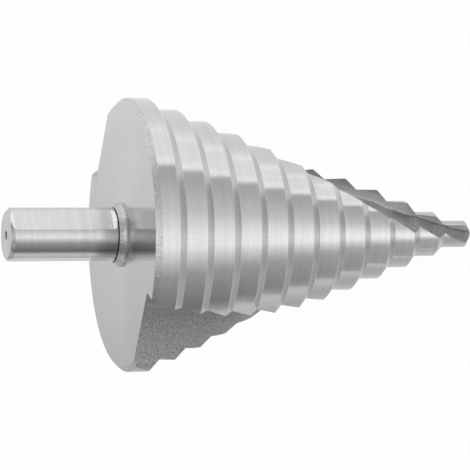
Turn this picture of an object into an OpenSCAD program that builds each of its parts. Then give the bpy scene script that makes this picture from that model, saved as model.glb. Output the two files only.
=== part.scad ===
// Step drill bit with two spiral flutes, turned and ground from one bar.
// It is drawn along its own axis and then laid down as it comes to rest:
// on the front rim of its largest step and the front corners of its pilot.

/* [Steps] */
// Diameter of the largest step
largest_d = 60; // [50:1:70]
// Diameter lost from one step to the next
step_drop = 5; // [4:0.5:7]
// Length along the axis from one step's front corner to the next
step_pitch = 6.75; // [5.5:0.25:9]
// Length along the axis of the bevel that leads up to each step
bevel_len = 2.2; // [1.2:0.1:3.2]
// Length of the largest step, from the back face to its front corner
head_len = 5.1; // [3.5:0.1:8]
// Bevel round the rim of the back face
rim_bevel = 1.1; // [0.4:0.1:2]

/* [Pilot] */
// Diameter of the pilot, the smallest step
pilot_d = 6; // [5:0.5:9]
// Length of the pilot's straight side
pilot_len = 5.5; // [4:0.1:9]
// Full angle of the pilot's point
point_angle = 118; // [110:1:140]
// Web between the two flutes at the pilot's front
web = 1.8; // [1.2:0.1:3]
// Web between the two flutes where the pilot begins
web_pilot = 5.1; // [4:0.1:5.6]
// Web between the two flutes where the last step before the pilot begins
web_last = 8.5; // [7:0.1:9.4]

/* [Flutes] */
// Depth of each flute at the back face
flute_depth = 5.1; // [3:0.1:8]
// Place of the first flute's root on the back face, round the axis
flute_start = 29.4; // [0:0.1:90]
// Slant of the flutes against the axis
helix_angle = 28.8; // [15:0.1:32]
// Height over the steps at which the slant is measured
guide_gap = 7.8; // [6:0.1:12]
// Length before the pilot's front corner over which the flutes run straight
straight_len = 4; // [2:0.5:6]
// Backward lean of the cutting face
rake_lean = 8; // [0:0.5:12]
// Angle between the flute's heel wall and the radius through its root
heel_angle = 97; // [90:0.5:105]
// Radius in the root of each flute
root_radius = 0.7; // [0.3:0.1:1.2]

/* [Shank] */
// Diameter of the shank
shank_d = 12; // [10:0.5:14]
// Length of the shank, from its end to the back face
shank_len = 25.6; // [20:0.1:40]
// Width of the crowned bevel round the shank's end
shank_bevel = 0.8; // [0.3:0.1:1.5]
// Depth of each of the three flats
flat_depth = 0.63; // [0.4:0.01:0.9]
// Distance from the end of each flat to the back face
flat_gap = 2.9; // [2.8:0.1:8]
// Radius of the wheel that ground the flats
wheel_radius = 0.7; // [0.6:0.1:4]
// Place of the first flat round the axis
flat_start = 82; // [0:1:119]

/* [Collar] */
// Diameter of the flared collar where it meets the back face
collar_d = 14; // [13:0.1:18]
// Length of the collar and the groove behind it
collar_len = 2.05; // [1.5:0.05:2.8]
// Depth of the groove between shank and collar
groove_depth = 0.25; // [0.1:0.05:0.5]
// Width of that groove
groove_width = 0.3; // [0.2:0.05:0.5]

/* [Centre hole] */
// Diameter of the centre hole at the shank's end
centre_d = 2; // [1:0.1:3]
// Diameter of the small bore below the centre hole's cone
centre_bore_d = 0.9; // [0.5:0.1:0.9]
// Depth of the centre hole with its bore
centre_depth = 2.6; // [2.6:0.1:5]

/* [Hidden] */
// Facets round a full turn
$fn = 180;
// Overlap that keeps cuts clear of the surfaces they pass through
cut = 0.5;
// Every size of step, largest first
largest_r = largest_d / 2;
pilot_r = pilot_d / 2;
shank_r = shank_d / 2;
step_count = ceil((largest_d - pilot_d) / step_drop) + 1;
function step_r(k) = k < step_count - 1 ? largest_r - k * step_drop / 2 : pilot_r;
// Place along the axis of the front corner of each step above the pilot
function front_z(k) = head_len + k * step_pitch;
pilot_start = front_z(step_count - 2) + bevel_len;
pilot_end = pilot_start + pilot_len;
tip_z = pilot_end + pilot_r / tan(point_angle / 2);
// Taper of the line through the front corners of the largest step and the pilot
taper = (largest_r - pilot_r) / (pilot_end - head_len);
// Guide cone that the flutes wind round
guide_r = largest_r + guide_gap;
function guide(z) = guide_r - taper * z;
// Turn of the flute's root at a place along the axis
twist_rate = tan(helix_angle) / taper * 180 / PI;
function flute_turn(z) =
    flute_start + twist_rate * ln(guide_r / guide(min(z, pilot_end - straight_len)));
// Distance of the flute's root from the axis
function root_r(z) =
    lookup(z, [
        [0, largest_r - flute_depth],
        [front_z(step_count - 3), web_last / 2],
        [front_z(step_count - 3) + bevel_len, web_last / 2],
        [pilot_start, web_pilot / 2],
        [pilot_end, web / 2]
    ]);
// Radius at which a ray that leaves the root at an angle reaches a circle
function ray_len(root, out, a) = sqrt(out * out - pow(root * sin(a), 2)) - root * cos(a);
function ray_point(root, out, a) =
    [root + ray_len(root, out, a) * cos(a), ray_len(root, out, a) * sin(a)];
function turn_of(p) = atan2(p[1], p[0]);
function turned(p, a) = [p[0] * cos(a) - p[1] * sin(a), p[0] * sin(a) + p[1] * cos(a)];
// Stations along a flute, closer together where it winds faster
flute_steps = 54;
flute_back = -2;
flute_front = tip_z + 1.5;
function station(i) =
    (guide_r - guide(flute_back) * pow(guide(flute_front) / guide(flute_back), i / flute_steps))
    / taper;
// Outer limit of the cutter, outside every step
clear_out = step_drop / 2 + 1;
function cutter_r(z) = max(largest_r - taper * (z - head_len), pilot_r) + clear_out;
// Points round the rounded root, from the heel wall to the cutting face
root_points = 4;
root_open = heel_angle + rake_lean;
root_centre = root_radius / sin(root_open / 2);
bisector = (heel_angle - rake_lean) / 2;
function root_point(root, j) =
    let (mid = [root + root_centre * cos(bisector), root_centre * sin(bisector)])
    let (a = bisector + 180 + (j / (root_points - 1) - 0.5) * (180 - root_open))
    [mid[0] + root_radius * cos(a), mid[1] + root_radius * sin(a)];
// Outline of one flute at a place along the axis, seen against the tip
function flute_outline(z) =
    let (root = root_r(z))
    let (out = cutter_r(z))
    let (edge = ray_point(root, out, -rake_lean))
    let (heel = ray_point(root, out, heel_angle))
    let (half = (turn_of(heel) - turn_of(edge)) / 2)
    let (mid_turn = turn_of(edge) + half)
    let (mid = out / cos(half / 2))
    [
        edge,
        [mid * cos(mid_turn), mid * sin(mid_turn)],
        heel,
        for (j = [0 : root_points - 1])
            root_point(root, j)
    ];
// Rest: the pilot's two front corners at one flute, and the head's front rim
rest_edge = turn_of(ray_point(root_r(pilot_end), pilot_r, -rake_lean));
rest_heel = turn_of(ray_point(root_r(pilot_end), pilot_r, heel_angle));
rest_turn = flute_turn(pilot_end) + (rest_edge + rest_heel) / 2;
rest_pilot_r = pilot_r * cos((rest_heel - rest_edge) / 2);
rest_tilt = atan((largest_r - rest_pilot_r) / (pilot_end - head_len));
rest_height = largest_r * cos(rest_tilt) + head_len * sin(rest_tilt);
// Ends of the lying bit, seen from above: the shank's end and the point
rest_back = -shank_len * cos(rest_tilt) - (shank_r - shank_bevel) * sin(rest_tilt);
rest_front = tip_z * cos(rest_tilt);
// Run-out of a flat
runout_points = 4;
runout_sweep = acos(1 - (flat_depth + cut) / wheel_radius);

// Blank as it leaves the lathe: steps, bevels, point, collar, shank, centre hole
module turned_blank() {
    shank_end = -shank_len;
    cone_len = (centre_d - centre_bore_d) / 2 / tan(30);
    bore_tip = centre_bore_d / 2 / tan(59);
    collar_rise = (collar_d / 2 - shank_r) * 0.7;
    rotate_extrude()
        polygon([
            [0, shank_end + centre_depth],
            [centre_bore_d / 2, shank_end + centre_depth - bore_tip],
            [centre_bore_d / 2, shank_end + cone_len],
            [centre_d / 2, shank_end],
            [shank_r, shank_end],
            [shank_r, -collar_len],
            [shank_r - groove_depth, -collar_len + groove_width / 3],
            [shank_r - groove_depth, -collar_len + groove_width * 2 / 3],
            [shank_r + groove_depth / 3, -collar_len + groove_width],
            [shank_r + collar_rise, -collar_len * 0.32],
            [collar_d / 2, -collar_len * 0.25],
            [collar_d / 2, 0],
            [largest_r - rim_bevel, 0],
            [largest_r, rim_bevel],
            for (k = [0 : step_count - 2])
                each [
                    [step_r(k), front_z(k)],
                    [step_r(k + 1), front_z(k) + bevel_len]
                ],
            [pilot_r, pilot_end],
            [0, tip_z]
        ]);
}

// Solid that one spiral flute removes, swept along the taper
module flute_cutter() {
    rows = root_points + 3;
    last = flute_steps * rows;
    points = [
        for (i = [0 : flute_steps])
            let (z = station(i))
            for (p = flute_outline(z))
                let (q = turned(p, flute_turn(z)))
                [q[0], q[1], z]
    ];
    sides = [
        for (i = [0 : flute_steps - 1])
            for (j = [0 : rows - 1])
                let (a = i * rows + j)
                let (b = i * rows + (j + 1) % rows)
                each [[a, a + rows, b], [b, a + rows, b + rows]]
    ];
    back_face = [[for (j = [0 : rows - 1]) j]];
    front_face = [[for (j = [rows - 1 : -1 : 0]) last + j]];
    polyhedron(points = points, faces = concat(back_face, sides, front_face), convexity = 6);
}

// Solid that one flat removes from the shank, with the wheel's run-out
module flat_cutter() {
    floor_x = shank_r - flat_depth;
    flat_end = -flat_gap;
    rotate([90, 0, 0])
        linear_extrude(height = shank_d, center = true)
            polygon([
                [floor_x, -shank_len - cut],
                [shank_r + cut, -shank_len - cut],
                for (j = [runout_points : -1 : 0])
                    let (a = runout_sweep * j / runout_points)
                    [floor_x + wheel_radius * (1 - cos(a)), flat_end + wheel_radius * sin(a)]
            ]);
}

// Ring that leaves the shank's end edge as a narrow, slightly crowned bevel
module end_crown_cutter() {
    crown_r = sqrt(pow(shank_r, 2) + pow(shank_r - shank_bevel, 2));
    difference() {
        translate([0, 0, -shank_len - cut])
            cylinder(h = 2 * cut + shank_bevel, r = shank_r + cut);
        translate([0, 0, shank_r - shank_len])
            sphere(r = crown_r);
    }
}

// Whole bit along its own axis, back face at zero and point upwards
module upright_bit() {
    difference() {
        turned_blank();
        for (side = [0, 180])
            rotate([0, 0, side])
                flute_cutter();
        for (side = [0, 120, 240])
            rotate([0, 0, flat_start + side])
                flat_cutter();
        end_crown_cutter();
    }
}

// The bit lying at rest, its point towards +X and the middle of its footprint at zero
module step_drill() {
    color([0.72, 0.73, 0.74])
        translate([-(rest_back + rest_front) / 2, 0, rest_height])
            rotate([0, 90 + rest_tilt, 0])
                rotate([0, 0, -rest_turn])
                    upright_bit();
}

step_drill();
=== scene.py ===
import math

import bpy
from mathutils import Matrix, Vector


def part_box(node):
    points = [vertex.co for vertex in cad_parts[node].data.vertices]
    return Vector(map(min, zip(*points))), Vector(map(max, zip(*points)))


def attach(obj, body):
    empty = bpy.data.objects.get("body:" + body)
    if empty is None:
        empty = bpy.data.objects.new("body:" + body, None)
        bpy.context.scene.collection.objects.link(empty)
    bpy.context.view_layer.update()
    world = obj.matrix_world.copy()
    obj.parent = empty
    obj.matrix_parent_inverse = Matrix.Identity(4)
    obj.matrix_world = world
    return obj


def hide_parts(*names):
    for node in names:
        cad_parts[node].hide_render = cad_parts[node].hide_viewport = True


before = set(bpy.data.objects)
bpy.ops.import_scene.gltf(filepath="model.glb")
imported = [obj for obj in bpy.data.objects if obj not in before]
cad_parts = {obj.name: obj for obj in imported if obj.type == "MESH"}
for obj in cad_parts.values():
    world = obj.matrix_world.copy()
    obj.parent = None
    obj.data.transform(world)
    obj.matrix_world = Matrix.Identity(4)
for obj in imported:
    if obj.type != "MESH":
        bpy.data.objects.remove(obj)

bl_info = {
    "name": "Step drill bit",
    "version": (1, 0, 0),
    "blender": (4, 5, 0),
    "location": "3D View > Sidebar > Step Drill",
    "description": "Builds a two-flute step drill bit in ground steel on a pale floor",
    "category": "Add Mesh",
}

MM = 0.001
CAD_NODE = "step_drill"

# Columns round the bit: each of the two flutes and lands has the same share
FACE_COLUMNS = 8
ROOT_COLUMNS = 6
WALL_COLUMNS = 26
LAND_COLUMNS = 86
FLUTE_COLUMNS = FACE_COLUMNS + ROOT_COLUMNS + WALL_COLUMNS
COLUMNS = 2 * (FLUTE_COLUMNS + LAND_COLUMNS)
# The same columns shared out on the shank: a flat and a round part, three times
FLAT_COLUMNS = 40
ROUND_COLUMNS = COLUMNS // 3 - FLAT_COLUMNS

# Rows of the centre hole's cone, the ground end, the crowned bevel and each flat's run-out
HOLE_ROWS = 3
END_ROWS = 9
CROWN_ROWS = 8
RUNOUT_ROWS = 8
# Length of the shank's rows against those of the steps
SHANK_ROW = 2
# Rings of the back face: round ones first, then ones that turn into the notched rim
ROUND_RINGS = 16
NOTCHED_RINGS = 7
# Room between the last round ring and the flutes, and least turn from one column to the next
ROOT_ROOM = 0.8 * MM
LEAST_TURN = 1e-5
# Points of each softened corner, and the most that it takes of the straight sides
CORNER_POINTS = 4
CORNER_SHARE = 0.3
# Share of a row that is spread over the others instead of adding one
ROW_SLACK = 0.05

# Half angles of the centre hole's cone and of its bore's bottom
HOLE_HALF_ANGLE = math.radians(30)
BORE_HALF_ANGLE = math.radians(59)
# Collar: height of its shoulder, places of its shoulder and its straight top, as shares, and longest row
COLLAR_RISE = 0.7
COLLAR_SHOULDER = 0.32
COLLAR_TOP = 0.25
COLLAR_ROW = 0.35 * MM
# Last ring before the tip: its radius and its distance from the tip
TIP_RADIUS = 0.075 * MM
TIP_ROOM = 0.03 * MM

# How far outside the flute's root a ring lies, as a share, to reach its walls, and to reach past its round root
OUTSIDE_ROOT = 1.0001
PAST_ROOT = 1.01
# Nearer in, the outline is followed this many root radii out, each span in this many parts
ROOT_REACH = 4
SPAN_PARTS = 24
# Fewest points inside a ring that still make a flute
FEWEST_POINTS = 6
# Width and middle of the columns kept for a flute where there is none yet
CLOSED_WIDTH = math.radians(10)
CLOSED_MIDDLE = math.radians(22)
# Least half width of a flat's columns, and half width from which a flat has sharp edges
LEAST_FLAT = math.radians(5)
SHARP_FLAT = math.radians(8)

# Length of one turn round the bit in the grain map
GRAIN_TURN = 0.19
# How far the bit may reach past its solid
BOX_ROOM = 0.1 * MM


class BitSizes(bpy.types.PropertyGroup):
    """Sizes of the bit, the same values as its solids have"""

    largest_d: bpy.props.FloatProperty(
        name="Largest step", description="Diameter of the largest step", default=60 * MM, unit="LENGTH")
    step_drop: bpy.props.FloatProperty(
        name="Step drop", description="Diameter lost from one step to the next", default=5 * MM, unit="LENGTH")
    step_pitch: bpy.props.FloatProperty(
        name="Step pitch", description="Length from one step's front corner to the next", default=6.75 * MM,
        unit="LENGTH")
    bevel_len: bpy.props.FloatProperty(
        name="Bevel length", description="Length of the bevel that leads up to each step", default=2.2 * MM,
        unit="LENGTH")
    head_len: bpy.props.FloatProperty(
        name="Head length", description="Length of the largest step", default=5.1 * MM, unit="LENGTH")
    rim_bevel: bpy.props.FloatProperty(
        name="Rim bevel", description="Bevel round the rim of the back face", default=1.1 * MM, unit="LENGTH")
    pilot_d: bpy.props.FloatProperty(
        name="Pilot", description="Diameter of the pilot", default=6 * MM, unit="LENGTH")
    pilot_len: bpy.props.FloatProperty(
        name="Pilot length", description="Length of the pilot's straight side", default=5.5 * MM, unit="LENGTH")
    point_angle: bpy.props.FloatProperty(
        name="Point angle", description="Full angle of the pilot's point", default=math.radians(118),
        subtype="ANGLE")
    web: bpy.props.FloatProperty(
        name="Web", description="Web between the two flutes at the pilot's front", default=1.8 * MM, unit="LENGTH")
    web_pilot: bpy.props.FloatProperty(
        name="Web at the pilot", description="Web between the two flutes where the pilot begins",
        default=5.1 * MM, unit="LENGTH")
    web_last: bpy.props.FloatProperty(
        name="Web at the last step", description="Web where the last step before the pilot begins",
        default=8.5 * MM, unit="LENGTH")
    flute_depth: bpy.props.FloatProperty(
        name="Flute depth", description="Depth of each flute at the back face", default=5.1 * MM, unit="LENGTH")
    flute_start: bpy.props.FloatProperty(
        name="Flute start", description="Place of the first flute's root on the back face",
        default=math.radians(29.4), subtype="ANGLE")
    helix_angle: bpy.props.FloatProperty(
        name="Helix angle", description="Slant of the flutes against the axis", default=math.radians(28.8),
        subtype="ANGLE")
    guide_gap: bpy.props.FloatProperty(
        name="Guide gap", description="Height over the steps at which the slant is measured", default=7.8 * MM,
        unit="LENGTH")
    straight_len: bpy.props.FloatProperty(
        name="Straight length", description="Length before the pilot's front corner where the flutes run straight",
        default=4 * MM, unit="LENGTH")
    rake_lean: bpy.props.FloatProperty(
        name="Rake lean", description="Backward lean of the cutting face", default=math.radians(8),
        subtype="ANGLE")
    heel_angle: bpy.props.FloatProperty(
        name="Heel angle", description="Angle of the flute's heel wall", default=math.radians(97), subtype="ANGLE")
    root_radius: bpy.props.FloatProperty(
        name="Root radius", description="Radius in the root of each flute", default=0.7 * MM, unit="LENGTH")
    shank_d: bpy.props.FloatProperty(
        name="Shank", description="Diameter of the shank", default=12 * MM, unit="LENGTH")
    shank_len: bpy.props.FloatProperty(
        name="Shank length", description="Length of the shank up to the back face", default=25.6 * MM,
        unit="LENGTH")
    shank_bevel: bpy.props.FloatProperty(
        name="Shank bevel", description="Width of the crowned bevel at the shank's end", default=0.8 * MM,
        unit="LENGTH")
    flat_depth: bpy.props.FloatProperty(
        name="Flat depth", description="Depth of each of the three flats", default=0.63 * MM, unit="LENGTH")
    flat_gap: bpy.props.FloatProperty(
        name="Flat gap", description="Distance from each flat's end to the back face", default=2.9 * MM,
        unit="LENGTH")
    wheel_radius: bpy.props.FloatProperty(
        name="Wheel radius", description="Radius of the wheel that ground the flats", default=0.7 * MM,
        unit="LENGTH")
    flat_start: bpy.props.FloatProperty(
        name="Flat start", description="Place of the first flat round the axis", default=math.radians(82),
        subtype="ANGLE")
    collar_d: bpy.props.FloatProperty(
        name="Collar", description="Diameter of the flared collar at the back face", default=14 * MM,
        unit="LENGTH")
    collar_len: bpy.props.FloatProperty(
        name="Collar length", description="Length of the collar and its groove", default=2.05 * MM, unit="LENGTH")
    groove_depth: bpy.props.FloatProperty(
        name="Groove depth", description="Depth of the groove behind the collar", default=0.25 * MM,
        unit="LENGTH")
    groove_width: bpy.props.FloatProperty(
        name="Groove width", description="Width of the groove behind the collar", default=0.3 * MM,
        unit="LENGTH")
    centre_d: bpy.props.FloatProperty(
        name="Centre hole", description="Diameter of the centre hole in the shank's end", default=2 * MM,
        unit="LENGTH")
    centre_bore_d: bpy.props.FloatProperty(
        name="Centre bore", description="Diameter of the small bore below the centre hole", default=0.9 * MM,
        unit="LENGTH")
    centre_depth: bpy.props.FloatProperty(
        name="Centre depth", description="Depth of the centre hole with its bore", default=2.6 * MM,
        unit="LENGTH")
    edge_break: bpy.props.FloatProperty(
        name="Edge break", description="Radius left on the turned corners", default=0.16 * MM, unit="LENGTH")
    row_len: bpy.props.FloatProperty(
        name="Row length", description="Length of one row of faces along the bit", default=0.66 * MM,
        unit="LENGTH")


class BitFinish(bpy.types.PropertyGroup):
    """Colours and roughness of the steel's finishes"""

    steel: bpy.props.FloatVectorProperty(
        name="Steel", description="Colour of the ground steel", default=(0.60, 0.60, 0.60), subtype="COLOR",
        min=0, max=1)
    ground_steel: bpy.props.FloatVectorProperty(
        name="Flute steel", description="Colour of the steel in the flutes", default=(0.36, 0.36, 0.36),
        subtype="COLOR", min=0, max=1)
    step_roughness: bpy.props.FloatProperty(
        name="Step roughness", description="Roughness of the turned steps", default=0.11, min=0, max=1,
        subtype="FACTOR")
    shank_roughness: bpy.props.FloatProperty(
        name="Shank roughness", description="Roughness of the ground shank", default=0.11, min=0, max=1,
        subtype="FACTOR")
    face_roughness: bpy.props.FloatProperty(
        name="Face roughness", description="Roughness of the turned back face", default=0.15, min=0, max=1,
        subtype="FACTOR")
    flute_roughness: bpy.props.FloatProperty(
        name="Flute roughness", description="Roughness of the flutes", default=0.34, min=0, max=1,
        subtype="FACTOR")
    rough_turned: bpy.props.FloatProperty(
        name="Rim roughness", description="Roughness of the rough-turned rim and collar", default=0.26, min=0,
        max=1, subtype="FACTOR")


class StageSetup(bpy.types.PropertyGroup):
    """Floor, lamps and camera"""

    floor_colour: bpy.props.FloatVectorProperty(
        name="Floor", description="Colour of the floor", default=(0.86, 0.86, 0.86), subtype="COLOR", min=0,
        max=1)
    floor_white: bpy.props.FloatProperty(
        name="White share", description="Share of plain white in the floor as it is seen", default=0.97, min=0,
        max=1, subtype="FACTOR")
    world_level: bpy.props.FloatProperty(
        name="Room level", description="Brightness of the soft room round the bit", default=1.0, min=0)
    lens: bpy.props.FloatProperty(
        name="Lens", description="Focal length in millimetres for a 36 mm sensor", default=220.787, min=1)


# ---------------------------------------------------------------- outlines

def step_radii(s):
    """Radius of every step, the largest first and the pilot last"""
    count = math.ceil(round((s.largest_d - s.pilot_d) / s.step_drop, 6)) + 1
    return [s.largest_d / 2 - k * s.step_drop / 2 for k in range(count - 1)] + [s.pilot_d / 2]


def rim_radius(s):
    """Radius of the back face, inside its bevelled rim"""
    return s.largest_d / 2 - s.rim_bevel


class Flutes:
    """Place and shape of the two flutes at any place along the axis"""

    def __init__(self, s):
        radii = step_radii(s)
        self.s = s
        self.pilot_start = s.head_len + (len(radii) - 2) * s.step_pitch + s.bevel_len
        self.pilot_end = self.pilot_start + s.pilot_len
        self.tip_z = self.pilot_end + s.pilot_d / 2 / math.tan(s.point_angle / 2)
        self.taper = (s.largest_d - s.pilot_d) / 2 / (self.pilot_end - s.head_len)
        self.guide_r = s.largest_d / 2 + s.guide_gap
        last_start = s.head_len + (len(radii) - 3) * s.step_pitch
        self.roots = [(0.0, s.largest_d / 2 - s.flute_depth), (last_start, s.web_last / 2),
                      (last_start + s.bevel_len, s.web_last / 2), (self.pilot_start, s.web_pilot / 2),
                      (self.pilot_end, s.web / 2)]

    def turn(self, z):
        """Angle of the first flute's root round the axis"""
        rate = math.tan(self.s.helix_angle) / self.taper
        wound = min(z, self.pilot_end - self.s.straight_len)
        return self.s.flute_start + rate * math.log(self.guide_r / (self.guide_r - self.taper * wound))

    def root(self, z):
        """Distance of the flute's root from the axis"""
        for (z0, r0), (z1, r1) in zip(self.roots, self.roots[1:]):
            if z <= z1:
                return r0 + (r1 - r0) * (max(z, z0) - z0) / (z1 - z0)
        return self.roots[-1][1]

    def full_curve(self, z, out):
        """Points down the cutting face, round the root and up the heel wall, out to a circle"""
        s = self.s
        root = self.root(z)

        def ray(a, length):
            return (root + length * math.cos(a), length * math.sin(a))

        def reach(a):
            return math.sqrt(out * out - (root * math.sin(a)) ** 2) - root * math.cos(a)

        face, wall = -s.rake_lean, s.heel_angle
        opening, middle = wall - face, (wall + face) / 2
        foot = s.root_radius / math.tan(opening / 2)
        cx, cy = ray(middle, s.root_radius / math.sin(opening / 2))
        face_end, wall_end = reach(face), reach(wall)
        points = [ray(face, face_end + (foot - face_end) * j / FACE_COLUMNS) for j in range(FACE_COLUMNS)]
        for j in range(ROOT_COLUMNS + 1):
            a = middle + math.pi + (j / ROOT_COLUMNS - 0.5) * (math.pi - opening)
            points.append((cx + s.root_radius * math.cos(a), cy + s.root_radius * math.sin(a)))
        points += [ray(wall, foot + (wall_end - foot) * j / WALL_COLUMNS) for j in range(1, WALL_COLUMNS + 1)]
        return points

    def curve(self, z, out):
        """The flute's outline inside a circle, or None where the circle is inside the web"""
        root = self.root(z)
        if out > root * OUTSIDE_ROOT:
            points = self.full_curve(z, out)
            if out > math.hypot(*points[FACE_COLUMNS]) * PAST_ROOT:
                return points
        points = self.full_curve(z, root + ROOT_REACH * self.s.root_radius)
        dense = []
        for a, b in zip(points, points[1:]):
            dense += [(a[0] + (b[0] - a[0]) * t / SPAN_PARTS, a[1] + (b[1] - a[1]) * t / SPAN_PARTS)
                      for t in range(SPAN_PARTS)]
        inside = [p for p in dense if math.hypot(*p) < out]
        if len(inside) < FEWEST_POINTS:
            return None
        for end in (0, -1):
            r = math.hypot(*inside[end])
            inside[end] = (inside[end][0] * out / r, inside[end][1] * out / r)
        return spread(inside, FLUTE_COLUMNS)


def spread(points, count):
    """Points at even distances along a line of points"""
    lengths = [0.0]
    for a, b in zip(points, points[1:]):
        lengths.append(lengths[-1] + math.hypot(b[0] - a[0], b[1] - a[1]))
    result, j = [], 0
    for i in range(count + 1):
        want = lengths[-1] * i / count
        while j < len(points) - 2 and lengths[j + 1] < want:
            j += 1
        span = lengths[j + 1] - lengths[j]
        t = 0 if span == 0 else (want - lengths[j]) / span
        a, b = points[j], points[j + 1]
        result.append((a[0] + (b[0] - a[0]) * t, a[1] + (b[1] - a[1]) * t))
    return result


def fluted_ring(flutes, z, out):
    """One ring of points round the fluted part, and the distance of each from its flute's root"""
    curve = flutes.curve(z, out)
    turn = flutes.turn(z)
    if curve is None:
        angles = [CLOSED_MIDDLE + CLOSED_WIDTH * (j / FLUTE_COLUMNS - 0.5) for j in range(FLUTE_COLUMNS + 1)]
        curve = [(out * math.cos(a), out * math.sin(a)) for a in angles]
    edge = math.atan2(curve[0][1], curve[0][0])
    heel = math.atan2(curve[-1][1], curve[-1][0])
    foot = min(range(len(curve)), key=lambda j: math.hypot(*curve[j]))
    reach = [0.0]
    for a, b in zip(curve, curve[1:]):
        reach.append(reach[-1] + math.dist(a, b))
    reach = [r - reach[foot] for r in reach]
    points, marks = [], []
    for side in (0, math.pi):
        ca, sa = math.cos(turn + side), math.sin(turn + side)
        points += [(x * ca - y * sa, x * sa + y * ca, z) for x, y in curve]
        marks += reach
        for j in range(1, LAND_COLUMNS):
            a = turn + side + heel + (math.pi + edge - heel) * j / LAND_COLUMNS
            points.append((out * math.cos(a), out * math.sin(a), z))
            marks.append(0.0)
    return points, marks


def shank_ring(s, z, circle, flat):
    """One ring of points round the shank: a circle cut by three flats"""
    half = math.acos(min(1.0, flat / circle)) if flat < circle else 0.0
    share = max(half, LEAST_FLAT)
    points = []
    for side in range(3):
        middle = s.flat_start + side * 2 * math.pi / 3
        for j in range(FLAT_COLUMNS):
            a = -share + 2 * share * j / FLAT_COLUMNS
            if half == share:
                a = math.atan(math.tan(half) * (2 * j / FLAT_COLUMNS - 1))
            r = min(circle, flat / math.cos(a))
            points.append((r * math.cos(middle + a), r * math.sin(middle + a), z))
        for j in range(ROUND_COLUMNS):
            a = share + (2 * math.pi / 3 - 2 * share) * j / ROUND_COLUMNS
            points.append((circle * math.cos(middle + a), circle * math.sin(middle + a), z))
    return points


def softened(profile, radius):
    """The profile's corners as short arcs; every point says whether a crease runs through it"""
    result = []
    last = CORNER_POINTS - 1
    for i, (z, r, name) in enumerate(profile):
        if i == 0 or i == len(profile) - 1:
            result.append((z, r, name, True))
            continue
        z0, r0, before = profile[i - 1]
        z1, r1, _ = profile[i + 1]
        a = math.atan2(r - r0, z - z0)
        b = math.atan2(r1 - r, z1 - z)
        reach = min(radius * math.tan(abs(b - a) / 2), CORNER_SHARE * math.hypot(z - z0, r - r0),
                    CORNER_SHARE * math.hypot(z1 - z, r1 - r))
        p0 = (z - reach * math.cos(a), r - reach * math.sin(a))
        p1 = (z + reach * math.cos(b), r + reach * math.sin(b))
        for j in range(CORNER_POINTS):
            t = j / last
            w = (1 - t) ** 2, 2 * t * (1 - t), t * t
            result.append((w[0] * p0[0] + w[1] * z + w[2] * p1[0], w[0] * p0[1] + w[1] * r + w[2] * p1[1],
                           name if j == last else before, j in (0, last)))
    return result


def subdivided(profile, length):
    """The profile with long spans cut into rows"""
    result = []
    for (z0, r0, name, crease), (z1, r1, _, _) in zip(profile, profile[1:]):
        rows = max(1, math.ceil(math.hypot(z1 - z0, r1 - r0) / length - ROW_SLACK))
        for j in range(rows):
            t = j / rows
            result.append((z0 + (z1 - z0) * t, r0 + (r1 - r0) * t, name, crease and j == 0))
    result.append(profile[-1])
    return result


def shank_rows(s):
    """Rows from the bottom of the centre hole to the collar: place, circle, flat, zone, crease"""
    end, flat_end = -s.shank_len, -s.flat_gap
    r, flat = s.shank_d / 2, s.shank_d / 2 - s.flat_depth
    bore, hole, inner = s.centre_bore_d / 2, s.centre_d / 2, s.shank_d / 2 - s.shank_bevel
    shoulder = end + s.centre_depth - bore / math.tan(BORE_HALF_ANGLE)
    mouth = end + (hole - bore) / math.tan(HOLE_HALF_ANGLE)
    crown = math.hypot(r, inner)
    no_flat = r * 2
    rows = [(shoulder, bore, no_flat, "centre", True), (mouth, bore, no_flat, "centre", True)]
    rows += [(mouth + (end - mouth) * j / HOLE_ROWS, bore + (hole - bore) * j / HOLE_ROWS, no_flat, "centre",
              j == HOLE_ROWS) for j in range(1, HOLE_ROWS + 1)]
    rows += [(end, hole + (inner - hole) * j / END_ROWS, no_flat, "end", j == END_ROWS)
             for j in range(1, END_ROWS + 1)]
    for j in range(1, CROWN_ROWS + 1):
        z = end + s.shank_bevel * j / CROWN_ROWS
        rows.append((z, math.sqrt(crown ** 2 - (z - end - r) ** 2), flat, "crown", j == CROWN_ROWS))
    start = end + s.shank_bevel
    count = math.ceil((flat_end - start) / (SHANK_ROW * s.row_len))
    rows += [(start + (flat_end - start) * j / count, r, flat, "shank", False) for j in range(1, count + 1)]
    sweep = math.acos(1 - s.flat_depth / s.wheel_radius)
    for j in range(1, RUNOUT_ROWS + 1):
        a = sweep * j / RUNOUT_ROWS
        rows.append((flat_end + s.wheel_radius * math.sin(a), r, flat + s.wheel_radius * (1 - math.cos(a)),
                     "shank", False))
    return rows


def collar_profile(s):
    """Outline of the groove and the flared collar behind the back face: place, circle, zone, crease"""
    r, top, back = s.shank_d / 2, s.collar_d / 2, -s.collar_len
    return subdivided([
        (back, r, "groove", True),
        (back + s.groove_width / 3, r - s.groove_depth, "groove", False),
        (back + s.groove_width * 2 / 3, r - s.groove_depth, "groove", False),
        (back + s.groove_width, r + s.groove_depth / 3, "collar", True),
        (back * COLLAR_SHOULDER, r + (top - r) * COLLAR_RISE, "collar", False),
        (back * COLLAR_TOP, top, "collar", False),
        (0.0, top, "collar", False),
    ], COLLAR_ROW)


# ---------------------------------------------------------------- the mesh

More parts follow.
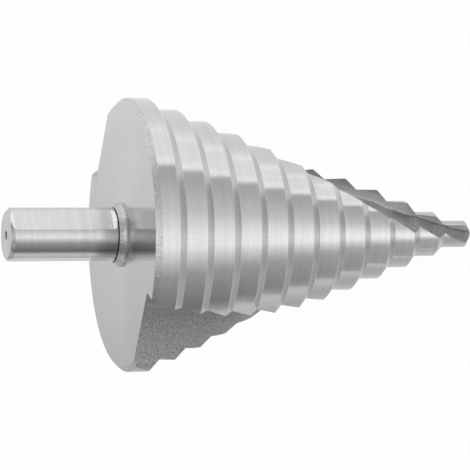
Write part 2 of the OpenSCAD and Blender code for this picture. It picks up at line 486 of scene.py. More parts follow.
class RingMesh:
    """A closed mesh made of rings that all have the same number of points"""

    def __init__(self, columns):
        self.columns = columns
        self.verts, self.faces, self.zones, self.grain = [], [], [], []
        self.creases = set()
        # The last ring: its points, their places along the outline and from the flutes' roots, and if flutes cut it
        self.last, self.across, self.marks, self.fluted = None, None, None, None
        # Length of the outline so far, and the place and radius that it has come to
        self.run, self.place = 0.0, None

    def start(self, z):
        """Begins with a single point on the axis"""
        self.verts.append((0, 0, z))
        self.last = [0] * self.columns
        self.across, self.marks = [0.0] * self.columns, [0.0] * self.columns
        self.fluted = False
        self.place = (z, 0.0)

    def advance(self, z, r):
        """Follows the outline to a new place, and gives its length so far to every column"""
        self.run += math.hypot(z - self.place[0], r - self.place[1])
        self.place = (z, r)
        return [self.run] * self.columns

    def grain_of(self, zone, vert, column, across, marks):
        """Place of a corner across and along the tool marks of its face"""
        if zone == "flute":
            return marks[column % self.columns], self.verts[vert][2]
        return across[column % self.columns], GRAIN_TURN * column / self.columns

    def crease_last(self, columns):
        """Creases these columns of the last ring"""
        self.creases.update((self.last[i], self.last[(i + 1) % self.columns]) for i in columns)

    def ring(self, points, zone, across, marks=None, crease="none", fluted=False, columns_creased=()):
        """Adds a ring, creased nowhere, on its lands or all round, and the faces up to it from the last one"""
        n = self.columns
        first = len(self.verts)
        self.verts.extend(points)
        now = list(range(first, first + n))
        marks = marks or [0.0] * n
        half = n // 2
        for i in range(n):
            k = (i + 1) % n
            a, b, c, d = self.last[i], self.last[k], now[k], now[i]
            name = "flute" if fluted and self.fluted and i % half < FLUTE_COLUMNS else zone
            corners = [
                (a, self.grain_of(name, a, i, self.across, self.marks)),
                (b, self.grain_of(name, b, i + 1, self.across, self.marks)),
                (c, self.grain_of(name, c, i + 1, across, marks)),
                (d, self.grain_of(name, d, i, across, marks)),
            ]
            if a == b:
                del corners[1]
            self.faces.append(tuple(v for v, _ in corners))
            self.grain.extend(uv for _, uv in corners)
            self.zones.append(name)
        self.creases.update((self.last[i], now[i]) for i in columns_creased)
        self.last, self.across, self.marks, self.fluted = now, across, marks, fluted
        if crease == "all":
            self.crease_last(range(n))
        elif crease == "lands":
            self.crease_last(i for i in range(n) if i % half >= FLUTE_COLUMNS)

    def roll(self, count):
        """Counts the columns of the last ring from another one on"""
        self.last = self.last[count:] + self.last[:count]
        self.across = self.across[count:] + self.across[:count]

    def close(self, z, zone):
        """Ends with a single point on the axis"""
        n = self.columns
        tip = len(self.verts)
        self.verts.append((0, 0, z))
        for i in range(n):
            k = (i + 1) % n
            self.faces.append((self.last[i], self.last[k], tip))
            self.grain.extend([(self.across[i], GRAIN_TURN * i / n), (self.across[k], GRAIN_TURN * (i + 1) / n),
                               (self.run, GRAIN_TURN * (i + 0.5) / n)])
            self.zones.append(zone)

    def to_object(self, name, materials):
        """The mesh as an object, with creases, grain and one material for each zone"""
        mesh = bpy.data.meshes.new(name)
        mesh.from_pydata(self.verts, [], self.faces)
        mesh.shade_smooth()
        for material in materials.values():
            mesh.materials.append(material)
        index = {zone: i for i, zone in enumerate(materials)}
        mesh.polygons.foreach_set("material_index", [index[zone] for zone in self.zones])
        creases = {(min(e), max(e)) for e in self.creases}
        ends = [0] * (2 * len(mesh.edges))
        mesh.edges.foreach_get("vertices", ends)
        pairs = zip(ends[0::2], ends[1::2])
        mesh.edges.foreach_set("use_edge_sharp", [(min(p), max(p)) in creases for p in pairs])
        layer = mesh.uv_layers.new(name="grain")
        layer.data.foreach_set("uv", [x for uv in self.grain for x in uv])
        mesh.update()
        if mesh.validate():
            raise RuntimeError("the bit's mesh needed repairs")
        obj = bpy.data.objects.new(name, mesh)
        bpy.context.scene.collection.objects.link(obj)
        return obj


def add_shank(mesh, s):
    """Centre hole, ground end, crowned bevel, shank with its flats, groove and collar"""
    flat_edges = [side * COLUMNS // 3 + j for side in range(3) for j in (0, FLAT_COLUMNS)]
    mesh.start(-s.shank_len + s.centre_depth)
    for z, circle, flat, zone, crease in shank_rows(s):
        edged = zone in ("crown", "shank") and flat < circle and math.acos(flat / circle) > SHARP_FLAT
        mesh.ring(shank_ring(s, z, circle, flat), zone, mesh.advance(z, circle),
                  crease="all" if crease else "none", columns_creased=flat_edges if edged else ())
    zone = "shank"
    for z, circle, name, crease in collar_profile(s):
        mesh.ring(shank_ring(s, z, circle, circle * 2), zone, mesh.advance(z, circle),
                  crease="all" if crease else "none")
        zone = name


def unwound(points):
    """Turn of each point of a ring round the axis, growing from column to column"""
    turns = []
    for x, y, _ in points:
        a = math.atan2(y, x)
        if turns:
            a = max(turns[-1] + LEAST_TURN, a + 2 * math.pi * round((turns[-1] - a) / (2 * math.pi)))
        turns.append(a)
    return turns


def add_back_face(mesh, s, flutes):
    """Back face, from the collar out to the notched rim, its columns as straight as they can be"""
    rim, collar_r = rim_radius(s), s.collar_d / 2
    outer, marks = fluted_ring(flutes, 0.0, rim)
    mesh.crease_last(range(COLUMNS))
    opposite = COLUMNS // 4
    nearest = min(range(COLUMNS), key=lambda i: math.dist(
        Vector(mesh.verts[mesh.last[i]]).normalized(), Vector(outer[opposite]).normalized()))
    mesh.roll((nearest - opposite) % COLUMNS)
    turns_in, turns_out = unwound([mesh.verts[i] for i in mesh.last]), unwound(outer)
    shift = 2 * math.pi * round((sum(turns_in) - sum(turns_out)) / COLUMNS / (2 * math.pi))
    bend_r = min(math.hypot(x, y) for x, y, _ in outer) - ROOT_ROOM
    for j in range(1, ROUND_RINGS + NOTCHED_RINGS + 1):
        t, u = min(1.0, j / ROUND_RINGS), max(0.0, (j - ROUND_RINGS) / NOTCHED_RINGS)
        ring, across = [], []
        for i in range(COLUMNS):
            a = turns_in[i] + (turns_out[i] + shift - turns_in[i]) * t
            r = collar_r + (bend_r - collar_r) * t + (math.hypot(*outer[i][:2]) - bend_r) * u
            ring.append((r * math.cos(a), r * math.sin(a), 0.0) if u < 1 else outer[i])
            across.append(mesh.run + r - collar_r)
        if u < 1:
            mesh.ring(ring, "back", across)
        else:
            mesh.ring(ring, "back", across, marks, crease="all", fluted=True)
    mesh.run += rim - collar_r
    mesh.place = (0.0, rim)


def add_steps(mesh, s, flutes):
    """Rim, steps, bevels, pilot and point, cut by the two flutes"""
    flute_edges = [side * COLUMNS // 2 + j for side in range(2) for j in (0, FLUTE_COLUMNS)]
    radii = step_radii(s)
    outline = [(0.0, rim_radius(s), "rim"), (s.rim_bevel, radii[0], "step")]
    for k in range(len(radii) - 1):
        z = s.head_len + k * s.step_pitch
        outline += [(z, radii[k], "bevel"), (z + s.bevel_len, radii[k + 1], "step")]
    outline += [(flutes.pilot_end, radii[-1], "point"), (flutes.tip_z - TIP_ROOM, TIP_RADIUS, "point")]
    rows = subdivided(softened(outline, s.edge_break), s.row_len)
    zone = rows[0][2]
    for z, r, name, crease in rows[1:]:
        points, marks = fluted_ring(flutes, z, r)
        cut = flutes.curve(z, r) is not None
        mesh.ring(points, zone, mesh.advance(z, r), marks, crease="lands" if crease else "none", fluted=cut,
                  columns_creased=flute_edges if cut else ())
        zone = name
    mesh.close(flutes.tip_z, "point")


def build_bit(s, materials):
    """The whole bit as one closed mesh along its own axis, back face at zero and point upwards"""
    flutes = Flutes(s)
    mesh = RingMesh(COLUMNS)
    add_shank(mesh, s)
    add_back_face(mesh, s, flutes)
    add_steps(mesh, s, flutes)
    return mesh.to_object("step_drill_bit", materials), flutes


def lying(s, flutes):
    """Places the bit as it rests: the pilot's two front corners at one flute, and the head's front rim"""
    pilot_r, largest_r = s.pilot_d / 2, s.largest_d / 2
    points = flutes.curve(flutes.pilot_end, pilot_r)
    edge = math.atan2(points[0][1], points[0][0])
    heel = math.atan2(points[-1][1], points[-1][0])
    turn = flutes.turn(flutes.pilot_end) + (edge + heel) / 2
    tilt = math.atan((largest_r - pilot_r * math.cos((heel - edge) / 2)) / (flutes.pilot_end - s.head_len))
    height = largest_r * math.cos(tilt) + s.head_len * math.sin(tilt)
    back = -s.shank_len * math.cos(tilt) - (s.shank_d / 2 - s.shank_bevel) * math.sin(tilt)
    front = flutes.tip_z * math.cos(tilt)
    return (Matrix.Translation((-(back + front) / 2, 0, height))
            @ Matrix.Rotation(math.pi / 2 + tilt, 4, "Y") @ Matrix.Rotation(-turn, 4, "Z"))


# ---------------------------------------------------------------- the steel

class Nodes:
    """Short calls for a material's or a world's nodes"""

    def __init__(self, tree):
        self.tree = tree
        tree.nodes.clear()

    def add(self, kind, inputs=None, **settings):
        """A node with its settings, and its inputs linked or set"""
        node = self.tree.nodes.new(kind)
        for name, value in settings.items():
            setattr(node, name, value)
        for key, value in (inputs or {}).items():
            socket = node.inputs[key]
            if isinstance(value, bpy.types.NodeSocket):
                self.tree.links.new(value, socket)
            else:
                socket.default_value = value
        return node

    def math(self, operation, *values):
        """One sum of numbers"""
        return self.add("ShaderNodeMath", dict(enumerate(values)), operation=operation).outputs[0]

    def dot(self, vector, direction):
        """Length of a vector along a direction"""
        return self.add("ShaderNodeVectorMath", {0: vector, 1: direction}, operation="DOT_PRODUCT").outputs["Value"]

    def split(self, vector):
        """The three parts of a vector"""
        return self.add("ShaderNodeSeparateXYZ", {0: vector}).outputs

    def curve(self, value, stops):
        """Reads a value off straight lines between stops, each a place and a level"""
        low, high = stops[0][0], stops[-1][0]
        top = max(level for _, level in stops)
        share = self.add("ShaderNodeMapRange", {"Value": value, "From Min": low, "From Max": high}).outputs["Result"]
        ramp = self.add("ShaderNodeValToRGB", {"Fac": share})
        # A new ramp has two marks already
        marks = ramp.color_ramp.elements
        for i, (place, level) in enumerate(stops):
            where = (place - low) / (high - low)
            mark = marks[i] if i < 2 else marks.new(where)
            mark.position = where
            mark.color = (level / top, level / top, level / top, 1)
        return self.math("MULTIPLY", ramp.outputs["Color"], top)

    def swing(self, value, middle, depth):
        """How far a value is from its middle, times a depth"""
        return self.math("MULTIPLY", self.math("SUBTRACT", value, middle), depth)

    def lines(self, across, scale, detail, roughness):
        """Noise across one length only, as lines"""
        return self.add("ShaderNodeTexNoise", {"W": across, "Scale": scale, "Detail": detail,
                                               "Roughness": roughness}, noise_dimensions="1D").outputs["Fac"]

    def noise(self, place, scale, detail, roughness):
        """Noise in all directions"""
        return self.add("ShaderNodeTexNoise", {"Vector": place, "Scale": scale, "Detail": detail,
                                               "Roughness": roughness}).outputs["Fac"]

    def grit(self, place, size):
        """Noise with grains of the given size"""
        scaled = self.add("ShaderNodeVectorMath", {0: place, 1: tuple(1 / length for length in size)},
                          operation="MULTIPLY").outputs["Vector"]
        return self.noise(scaled, scale=1.0, detail=1.0, roughness=0.5)


# Broad tool marks for every fine one, and sizes of the slow wear, the ripple and the speckle
BROAD_MARKS = 0.22
WEAR_SIZE = 9 * MM
RIPPLE_SIZE = 2.6 * MM
SPECK_SIZE = 0.32 * MM
# What wear and tool marks change in tone and in roughness
WEAR_TONE = 0.10
WEAR_ROUGHNESS = 0.06
MARK_ROUGHNESS = -0.25
# How strongly rough-turned steel draws highlights out across its marks, and how much rougher the bevels are
PITTED_GRAIN = 0.2
BEVEL_ROUGHER = 0.04
# Width and length of the crossed scratches in the flutes, and the share and shift that keep their middle at a half
SCRATCH_SIZE = (0.19 * MM, 1.1 * MM)
SCRATCH_SHARE = 0.7
SCRATCH_SHIFT = -0.2

# Painted shade and highlight across a flute by the distance from its root, below zero on the cutting face: painted
# shade in and beside the root, painted highlight on the cutting face and the far heel wall; and the speckle's
# strength by the same distance
FLUTE_PAINTED_SHADE = [(-7 * MM, 1.20), (-4 * MM, 1.48), (-1.8 * MM, 1.64), (-0.5 * MM, 1.16), (0.4 * MM, 0.92),
               (1.0 * MM, 0.80), (3 * MM, 0.80), (8 * MM, 0.92), (16 * MM, 1.08), (24 * MM, 1.25)]
FLUTE_SPECKS = [(-1 * MM, 0.14), (1.5 * MM, 0.25), (4.5 * MM, 1.0)]

# Patches of painted light and shade, each with three rows of stops: its share by the place across the marks, its
# tone by the place along them, and its share from one side of the lying bit to the other
WHOLE = [(-1, 1.0), (1, 1.0)]
# Cutting faces near the back face: a painted highlight on the left as seen from the shank, painted shade on the
# right
LEFT_FACE_PAINTED_HIGHLIGHT = ([(-1.4 * MM, 1.0), (-0.6 * MM, 0.0)], [(0, 1.6), (3 * MM, 1.5), (6 * MM, 1.0)],
                   [(-3 * MM, 0.0), (3 * MM, 1.0)])
RIGHT_FACE_PAINTED_SHADE = ([(-0.8 * MM, 1.0), (0.2 * MM, 0.0)], [(0, 0.62), (5 * MM, 0.66), (9 * MM, 1.0)],
                    [(-3 * MM, 1.0), (3 * MM, 0.0)])
# Painted light and shade on the shank towards its collar, lighter and darker by the turn round the bit
SHANK_PAINTED_LIGHT_AND_SHADE = ([(25.8 * MM, 0.0), (26.9 * MM, 0.6), (29 * MM, 0.85), (30.5 * MM, 1.0)],
               [(0, 1.0), (124 * MM, 1.0), (127 * MM, 1.42), (157 * MM, 1.42), (158.5 * MM, 1.7), (167 * MM, 1.7),
                (170 * MM, 1.2), (172.5 * MM, 0.7), (180 * MM, 0.7), (183 * MM, 1.0)], WHOLE)
# Painted light and shade on the crowned bevel, lighter and darker by the turn round the bit
CROWN_PAINTED_LIGHT_AND_SHADE = (WHOLE,
               [(0, 1.0), (124 * MM, 1.0), (127 * MM, 1.2), (156 * MM, 1.2), (157 * MM, 0.95), (161 * MM, 0.80),
                (164 * MM, 0.68), (168 * MM, 0.68), (171 * MM, 1.1), (173 * MM, 1.65), (177.5 * MM, 1.6),
                (179.5 * MM, 0.85), (190 * MM, 0.85)], WHOLE)


def steel(name, colour, roughness, marks, mark_depth, tone, blotch=0.0, blotch_size=2.2 * MM, pits=0.0,
          wave=0.004 * MM, speckle=0.05, painted_shade_bands=(), scratch=(), painted_light_patches=()):
    """Ground or turned steel: tool marks along the grain, ripple, wear, speckle, mottling, and painted light and
    shade where given
    """
    material = bpy.data.materials.new(name)
    material.use_nodes = True
    n = Nodes(material.node_tree)
    grain = n.add("ShaderNodeUVMap", uv_map="grain").outputs["UV"]
    across, along, _ = n.split(grain)
    place = n.add("ShaderNodeTexCoord").outputs["Object"]

    # Tool marks: lines of uneven depth, each running the whole way round
    fine = n.lines(across, 1 / marks, detail=3.0, roughness=0.65)
    broad = n.lines(across, BROAD_MARKS / marks, detail=2.0, roughness=0.5)

    # Mottling, slow wear, ripple, and grit that is even or crossed like the scratches of a grinding wheel
    cloud = n.noise(place, 1 / blotch_size, detail=4.0, roughness=0.6)
    wear = n.noise(place, 1 / WEAR_SIZE, detail=2.0, roughness=0.5)
    ripple = n.noise(place, 1 / RIPPLE_SIZE, detail=1.0, roughness=0.4)
    if scratch:
        width, length = scratch
        crossed = n.math("ADD", n.grit(grain, (width, length, 1.0)), n.grit(grain, (length, width, 1.0)))
        grit = n.math("MULTIPLY_ADD", crossed, SCRATCH_SHARE, SCRATCH_SHIFT)
    else:
        grit = n.grit(place, (SPECK_SIZE, SPECK_SIZE, SPECK_SIZE))

    # Tone: a few per cent lighter and darker with the marks, the mottling, slow wear and speckle
    marked = n.swing(n.math("ADD", fine, broad), 1.0, tone)
    mottled = n.swing(cloud, 0.5, blotch)
    worn = n.swing(wear, 0.5, WEAR_TONE)
    specks = n.swing(grit, 0.5, 2 * speckle)
    if painted_shade_bands:
        specks = n.math("MULTIPLY", specks, n.curve(across, FLUTE_SPECKS))
    level = n.math("ADD", n.math("ADD", 1.0, specks), n.math("ADD", marked, n.math("ADD", mottled, worn)))
    # Painted shade in the flute's root and painted highlight on its cutting face and far heel wall
    if painted_shade_bands:
        level = n.math("MULTIPLY", level, n.curve(across, painted_shade_bands))
    # Painted light and shade in patches
    for shares, levels, sides in painted_light_patches:
        _, sideways, _ = n.split(place)
        share = n.math("MULTIPLY", n.curve(across, shares), n.curve(sideways, sides))
        change = n.math("MULTIPLY", share, n.math("SUBTRACT", n.curve(along, levels), 1.0))
        level = n.math("MULTIPLY", level, n.math("ADD", 1.0, change))
    tint = n.add("ShaderNodeVectorMath", {0: tuple(colour), "Scale": level}, operation="SCALE").outputs["Vector"]
    rough = n.math("ADD", roughness, n.math("ADD", n.math("MULTIPLY", marked, MARK_ROUGHNESS),
                                            n.swing(wear, 0.5, WEAR_ROUGHNESS)))

    # Relief: the marks, a slow ripple, and pits where the steel was rough-turned
    height = n.math("MULTIPLY", n.math("ADD", fine, broad), mark_depth)
    height = n.math("ADD", height, n.math("MULTIPLY", ripple, wave))
    if pits:
        height = n.math("ADD", height, n.math("MULTIPLY", cloud, pits))
    bump = n.add("ShaderNodeBump", {"Strength": 1.0, "Distance": 1.0, "Height": height}).outputs["Normal"]
    tangent = n.add("ShaderNodeTangent", direction_type="UV_MAP", uv_map="grain").outputs["Tangent"]
    shader = n.add("ShaderNodeBsdfPrincipled", {
        "Base Color": tint, "Metallic": 1.0, "Roughness": rough, "Normal": bump, "Tangent": tangent,
        "Anisotropic": PITTED_GRAIN if pits else 1.0})
    n.add("ShaderNodeOutputMaterial", {"Surface": shader.outputs["BSDF"]})
    return material


def toned(colour, share):
    """A colour made lighter or darker"""
    return [share * part for part in colour]


def steel_finishes(finish):
    """One finish for each zone of the bit"""
    bright, dull = finish.steel, finish.ground_steel
    return {
        "step": steel("turned_steel_step", bright, finish.step_roughness, marks=0.34 * MM,
                      mark_depth=0.0011 * MM, tone=0.12, speckle=0.11),
        # Painted light: the bevels' steel is painted a little lighter than the steps' for the light they catch
        "bevel": steel("turned_steel_bevel_painted_light", toned(bright, 1.05), finish.step_roughness + BEVEL_ROUGHER,
                       marks=0.30 * MM, mark_depth=0.0014 * MM, tone=0.10, speckle=0.08),
        "point": steel("ground_steel_point", bright, finish.step_roughness, marks=0.25 * MM,
                       mark_depth=0.0010 * MM, tone=0.10),
        # The flute steel carries painted shade in its root, painted highlights on its faces, and painted light and
        # shade on the cutting faces near the back face
        "flute": steel("ground_steel_flute_painted_shade", dull, finish.flute_roughness, marks=0.26 * MM,
                       mark_depth=0.003 * MM, tone=0.25, blotch=0.45, blotch_size=0.8 * MM, wave=0.02 * MM,
                       speckle=1.0, painted_shade_bands=FLUTE_PAINTED_SHADE, scratch=SCRATCH_SIZE,
                       painted_light_patches=(LEFT_FACE_PAINTED_HIGHLIGHT, RIGHT_FACE_PAINTED_SHADE)),
        "back": steel("faced_steel_back", bright, finish.face_roughness, marks=0.40 * MM,
                      mark_depth=0.0006 * MM, tone=0.05, speckle=0.03),
        "rim": steel("rough_turned_steel_rim", bright, finish.rough_turned, marks=0.30 * MM,
                     mark_depth=0.003 * MM, tone=0.12, blotch=0.9, blotch_size=0.55 * MM, pits=0.05 * MM),
        "collar": steel("rough_turned_steel_collar", toned(bright, 0.94), finish.rough_turned, marks=0.25 * MM,
                        mark_depth=0.003 * MM, tone=0.20, blotch=1.25, blotch_size=0.50 * MM, pits=0.05 * MM),
        # Painted shade: the groove's steel is painted dark to stand in for the shade inside it
        "groove": steel("groove_steel_painted_shade", toned(dull, 0.30), roughness=0.5, marks=0.15 * MM,
                        mark_depth=0.002 * MM, tone=0.2),
        # The shank steel carries painted light and shade towards its collar
        "shank": steel("ground_steel_shank_painted_light", bright, finish.shank_roughness, marks=0.36 * MM,
                       mark_depth=0.0010 * MM, tone=0.14, speckle=0.13, painted_light_patches=(SHANK_PAINTED_LIGHT_AND_SHADE,)),
        # The crown steel carries painted light and shade round the bit
        "crown": steel("ground_steel_crown_painted_light", bright, finish.shank_roughness, marks=0.30 * MM,
                       mark_depth=0.0012 * MM, tone=0.12, speckle=0.08, painted_light_patches=(CROWN_PAINTED_LIGHT_AND_SHADE,)),
        "end": steel("faced_steel_end", bright, finish.face_roughness, marks=0.30 * MM,
                     mark_depth=0.0012 * MM, tone=0.12, speckle=0.10),
        "centre": steel("drilled_steel_centre", dull, roughness=0.45, marks=0.20 * MM,
                        mark_depth=0.002 * MM, tone=0.15),
    }


class STEPDRILL_OT_bit(bpy.types.Operator):
    """Builds the bit in steel and puts it in place of its plain solid"""

    bl_idname = "stepdrill.bit"
    bl_label = "Build the bit"

    def execute(self, context):
        sizes, finish = context.scene.bit_sizes, context.scene.bit_finish
        bit, flutes = build_bit(sizes, steel_finishes(finish))
        bit.data.transform(lying(sizes, flutes))
        bit.data.update()
        low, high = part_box(CAD_NODE)
        for axis in range(3):
            places = [vert.co[axis] for vert in bit.data.vertices]
            if min(places) < low[axis] - BOX_ROOM or max(places) > high[axis] + BOX_ROOM:
                raise RuntimeError("the bit reaches past its solid")
        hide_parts(CAD_NODE)
        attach(bit, "root")
        return {"FINISHED"}


# ---------------------------------------------------------------- the stage

# Where the camera stands, looks and holds its head, in metres, with its sensor's width in millimetres and its
# nearest and furthest sight in metres
CAMERA_PLACE = (0.0351400, -0.0042966, 0.6583877)
CAMERA_RIGHT = (0.9983764, -0.0053957, -0.0567056)
CAMERA_UP = (0.0057585, 0.9999640, 0.0062357)
CAMERA_SENSOR = 36.0
CAMERA_SIGHT = (0.01, 60.0)

# Brightness of the studio room by its turn round the bit, in degrees, as a normal facing half way would meet it
ROOM = [(-90, 1.05), (-50, 1.05), (-44, 1.10), (-40, 1.18), (-37, 1.13), (-35, 1.15), (-33, 1.33), (-30.8, 1.38),
        (-30.0, 0.56), (-27, 0.58), (-20, 0.67), (-10, 0.86), (-4, 1.20), (0, 1.41), (5, 1.44), (9, 1.04),
        (12.5, 0.78), (15.5, 0.60), (17.5, 0.45), (20, 0.44), (24, 0.355), (28, 0.31), (32, 0.25), (35.5, 0.205),
        (40, 0.46), (45, 0.70), (55, 0.64), (75, 0.62), (90, 1.0)]
# Share of it towards the camera, from behind to straight at it, and along the axis, from the shank to the point
ROOM_ABOVE = [(-1, 1.0), (0.80, 1.0), (0.94, 0.62), (1, 0.50)]
ROOM_BEHIND = [(-1, 0.86), (-0.30, 0.86), (-0.15, 1.0), (1, 1.0)]
# The part of the room that the back face mirrors beside the shank: its place along the axis, and share by turn
MIRRORED_PLACE = [(-1, 0.0), (-0.36, 0.0), (-0.30, 1.0), (-0.20, 1.0), (-0.14, 0.0), (1, 0.0)]
MIRRORED_ROOM = [(-90, 0.55), (-14, 0.55), (-9, 0.46), (8, 0.46), (14, 0.95), (20, 1.3), (33, 1.3), (40, 0.50),
                 (90, 0.50)]

# Half the width of the floor, and the place along it that its sectors turn round, in metres
FLOOR_REACH = 20.0
FLOOR_POINT = 0.093
# Painted light and shade of the floor as the steel mirrors it, darkest in a painted shadow beside the bit: place
# across the bit in metres, and share of white
FLOOR_MIRRORED_PAINTED_SHADE = [(-0.20, 0.70), (-0.10, 0.65), (-0.05, 0.58), (-0.03, 0.64), (-0.015, 0.75), (0, 0.81), (0.015, 0.85),
              (0.035, 0.90), (0.05, 0.95), (0.075, 0.98), (0.12, 1.04), (0.17, 1.09), (0.22, 1.07), (0.30, 1.0),
              (0.45, 0.97)]
# The same painted light and shade round the point: way over the floor in degrees from ahead of the point, and share
FLOOR_MIRRORED_PAINTED_SECTORS = [(-180, 1.0), (-150, 1.0), (-120, 1.10), (-100, 1.14), (-70, 1.22), (0, 1.22), (2, 0.62), (38, 0.62),
                 (40, 0.50), (47, 0.50), (51, 0.76), (53, 0.80), (55, 1.15), (65, 1.20), (90, 1.20), (104, 1.18),
                 (116, 1.06), (130, 1.03), (145, 1.0), (180, 1.0)]

# Where the soft card stands beside the point, in metres: its middle, its two ways, and its corners
CARD_PLACE = (0.1696647, -0.1844973, 0.1232476)
CARD_ALONG = (0.8025865, 0.2696807, -0.5320971)
CARD_UP = (0.2682017, 0.6336139, 0.7256730)
CARD_CORNERS = ((-0.084, -0.135), (0.10, 0.11))
# Brightness of the card, its full share and the place from which it has it, and the soft strip along two edges
CARD_LEVEL = 0.60
CARD_SHARE = 0.95
CARD_FULL = 0.014
CARD_EDGE = 0.02

# The soft lamp: its place, what it faces and its size, in metres, and its radiance
LAMP_PLACE = (0.1, 0.9, 0.55)
LAMP_TARGET = (0, 0, 0.02)
LAMP_SIZE = (1.2, 0.5)
LAMP_RADIANCE = 1.2


def in_radians(stops):
    """Stops whose places are angles, turned from degrees to radians"""
    return [(math.radians(angle), level) for angle, level in stops]


def facing(place, along, up):
    """Matrix of a thing whose X runs along one way and whose Y runs up, square to it"""
    along, up = Vector(along).normalized(), Vector(up)
    up = (up - along * up.dot(along)).normalized()
    return Matrix.Translation(place) @ Matrix((along, up, along.cross(up))).transposed().to_4x4()


def studio_room(world, level, matrix, toward_camera):
    """A soft room of pale and grey panels along the bit"""
    world.use_nodes = True
    n = Nodes(world.node_tree)
    side, down, axis = (matrix.to_3x3() @ Vector(way) for way in ((1, 0, 0), (0, 1, 0), (0, 0, 1)))
    way = n.add("ShaderNodeTexCoord").outputs["Generated"]
    half = n.add("ShaderNodeVectorMath", {0: way, 1: toward_camera}, operation="ADD").outputs["Vector"]
    turn = n.math("ARCTAN2", n.dot(half, down), n.dot(half, side))
    ahead = n.dot(way, axis)
    tone = n.math("MULTIPLY", n.curve(turn, in_radians(ROOM)), level)
    above = n.curve(n.dot(way, toward_camera), ROOM_ABOVE)
    behind = n.curve(ahead, ROOM_BEHIND)
    change = n.math("SUBTRACT", n.curve(turn, in_radians(MIRRORED_ROOM)), 1.0)
    mirrored = n.math("ADD", 1.0, n.math("MULTIPLY", n.curve(ahead, MIRRORED_PLACE), change))
    tone = n.math("MULTIPLY", tone, n.math("MULTIPLY", above, n.math("MULTIPLY", behind, mirrored)))
    panels = n.add("ShaderNodeBackground", {"Color": (1, 1, 1, 1), "Strength": tone})
    n.add("ShaderNodeOutputWorld", {"Surface": panels.outputs[0]})


def flat_panel(name, corners, material_name):
    """A flat panel between two corners, and the nodes of its new material"""
    (x0, y0), (x1, y1) = corners
    mesh = bpy.data.meshes.new(name)
    mesh.from_pydata([(x0, y0, 0), (x1, y0, 0), (x1, y1, 0), (x0, y1, 0)], [], [(0, 1, 2, 3)])
    panel = bpy.data.objects.new(name, mesh)
    bpy.context.scene.collection.objects.link(panel)
    material = bpy.data.materials.new(material_name)
    material.use_nodes = True
    mesh.materials.append(material)
    return panel, Nodes(material.node_tree)


def pale_floor(setup):
    """Wide plain floor whose white shows to the camera and in the steel, where it carries painted light and shade by
    place with a painted shadow beside the bit, and which keeps the bit's cast shadow
    """
    floor, n = flat_panel("floor", ((-FLOOR_REACH, -FLOOR_REACH), (FLOOR_REACH, FLOOR_REACH)), "pale_floor")
    matt = n.add("ShaderNodeBsdfDiffuse", {"Color": (*setup.floor_colour, 1)})
    path = n.add("ShaderNodeLightPath").outputs
    seen = n.math("MAXIMUM", path["Is Camera Ray"], path["Is Transmission Ray"])
    share = n.math("MULTIPLY", n.math("MAXIMUM", seen, path["Is Glossy Ray"]), setup.floor_white)
    x, y, _ = n.split(n.add("ShaderNodeTexCoord").outputs["Object"])
    ahead = n.math("ARCTAN2", y, n.math("SUBTRACT", x, FLOOR_POINT))
    # Painted light and shade, with a painted shadow beside the bit, on the floor as the steel mirrors it
    tone = n.math("MULTIPLY", n.curve(y, FLOOR_MIRRORED_PAINTED_SHADE), n.curve(ahead, in_radians(FLOOR_MIRRORED_PAINTED_SECTORS)))
    mirrored = n.add("ShaderNodeMix", {0: path["Is Glossy Ray"], 2: 1.0, 3: tone}, data_type="FLOAT").outputs[0]
    white = n.add("ShaderNodeEmission", {"Color": (1, 1, 1, 1), "Strength": mirrored})
    mix = n.add("ShaderNodeMixShader", {0: share, 1: matt.outputs[0], 2: white.outputs[0]})
    n.add("ShaderNodeOutputMaterial", {"Surface": mix.outputs[0]})


def pale_card():
    """A soft grey card beside the point, which pales the near side of the small steps"""
    card, n = flat_panel("card", CARD_CORNERS, "grey_card")
    card.matrix_world = facing(CARD_PLACE, CARD_ALONG, CARD_UP)
    (x0, y0), (x1, y1) = CARD_CORNERS
    x, y, _ = n.split(n.add("ShaderNodeTexCoord").outputs["Object"])
    fade = n.math("MULTIPLY", n.curve(x, [(x0, 0.0), (CARD_FULL, CARD_SHARE), (x1, CARD_SHARE)]),
                  n.curve(y, [(y0, 0.0), (y0 + CARD_EDGE, 1.0), (y1 - CARD_EDGE, 1.0), (y1, 0.0)]))
    clear = n.add("ShaderNodeBsdfTransparent")
    grey = n.add("ShaderNodeEmission", {"Color": (1, 1, 1, 1), "Strength": CARD_LEVEL})
    mix = n.add("ShaderNodeMixShader", {0: fade, 1: clear.outputs[0], 2: grey.outputs[0]})
    n.add("ShaderNodeOutputMaterial", {"Surface": mix.outputs[0]})
    card.visible_camera = card.visible_diffuse = card.visible_shadow = card.visible_transmission = False


def soft_lamp():
    """A large soft lamp beside the bit, which doesn't show in the steel"""
    data = bpy.data.lights.new("side_lamp", "AREA")
    data.shape = "RECTANGLE"
    data.size, data.size_y = LAMP_SIZE
    data.energy = LAMP_RADIANCE * math.pi * data.size * data.size_y
    lamp = bpy.data.objects.new("side_lamp", data)
    lamp.location = LAMP_PLACE
    aim = Vector(LAMP_TARGET) - Vector(LAMP_PLACE)
    lamp.rotation_euler = aim.to_track_quat("-Z", "Y").to_euler()
    lamp.visible_camera = lamp.visible_glossy = False
    bpy.context.scene.collection.objects.link(lamp)


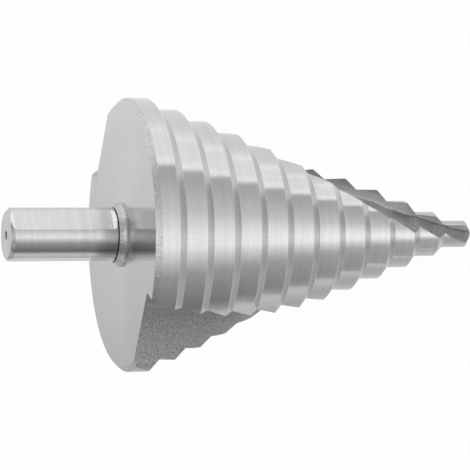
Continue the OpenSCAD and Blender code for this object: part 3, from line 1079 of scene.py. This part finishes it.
def set_camera(lens):
    """The camera at its place; gives back the way from the bit towards it"""
    data = bpy.data.cameras.new("camera")
    data.lens, data.sensor_width, data.sensor_fit = lens, CAMERA_SENSOR, "HORIZONTAL"
    data.clip_start, data.clip_end = CAMERA_SIGHT
    camera = bpy.data.objects.new("camera", data)
    matrix = facing(CAMERA_PLACE, CAMERA_RIGHT, CAMERA_UP)
    camera.matrix_world = matrix
    bpy.context.scene.collection.objects.link(camera)
    bpy.context.scene.camera = camera
    return tuple(matrix.to_3x3().col[2])


class STEPDRILL_OT_stage(bpy.types.Operator):
    """Sets the floor, the card, the camera, the room and the soft lamp"""

    bl_idname = "stepdrill.stage"
    bl_label = "Set the stage"

    def execute(self, context):
        setup, sizes = context.scene.stage_setup, context.scene.bit_sizes
        pale_floor(setup)
        pale_card()
        toward_camera = set_camera(setup.lens)
        world = bpy.data.worlds.new("studio_room")
        context.scene.world = world
        studio_room(world, setup.world_level, lying(sizes, Flutes(sizes)), toward_camera)
        soft_lamp()
        context.scene.view_settings.view_transform = "Standard"
        return {"FINISHED"}


class STEPDRILL_PT_panel(bpy.types.Panel):
    """Lists the steps that build the bit and its stage"""

    bl_label = "Step Drill"
    bl_idname = "STEPDRILL_PT_panel"
    bl_space_type = "VIEW_3D"
    bl_region_type = "UI"
    bl_category = "Step Drill"

    def draw(self, context):
        scene, layout = context.scene, self.layout
        for group in (scene.bit_sizes, scene.bit_finish):
            for key in group.__annotations__:
                layout.prop(group, key)
        layout.operator(STEPDRILL_OT_bit.bl_idname)
        for key in scene.stage_setup.__annotations__:
            layout.prop(scene.stage_setup, key)
        layout.operator(STEPDRILL_OT_stage.bl_idname)


CLASSES = (BitSizes, BitFinish, StageSetup, STEPDRILL_OT_bit, STEPDRILL_OT_stage, STEPDRILL_PT_panel)


def register():
    for cls in CLASSES:
        bpy.utils.register_class(cls)
    bpy.types.Scene.bit_sizes = bpy.props.PointerProperty(type=BitSizes)
    bpy.types.Scene.bit_finish = bpy.props.PointerProperty(type=BitFinish)
    bpy.types.Scene.stage_setup = bpy.props.PointerProperty(type=StageSetup)


def unregister():
    del bpy.types.Scene.stage_setup
    del bpy.types.Scene.bit_finish
    del bpy.types.Scene.bit_sizes
    for cls in reversed(CLASSES):
        bpy.utils.unregister_class(cls)


def main():
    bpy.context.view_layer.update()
    register()
    bpy.ops.stepdrill.bit()
    bpy.ops.stepdrill.stage()


if __name__ == "__main__":
    main()
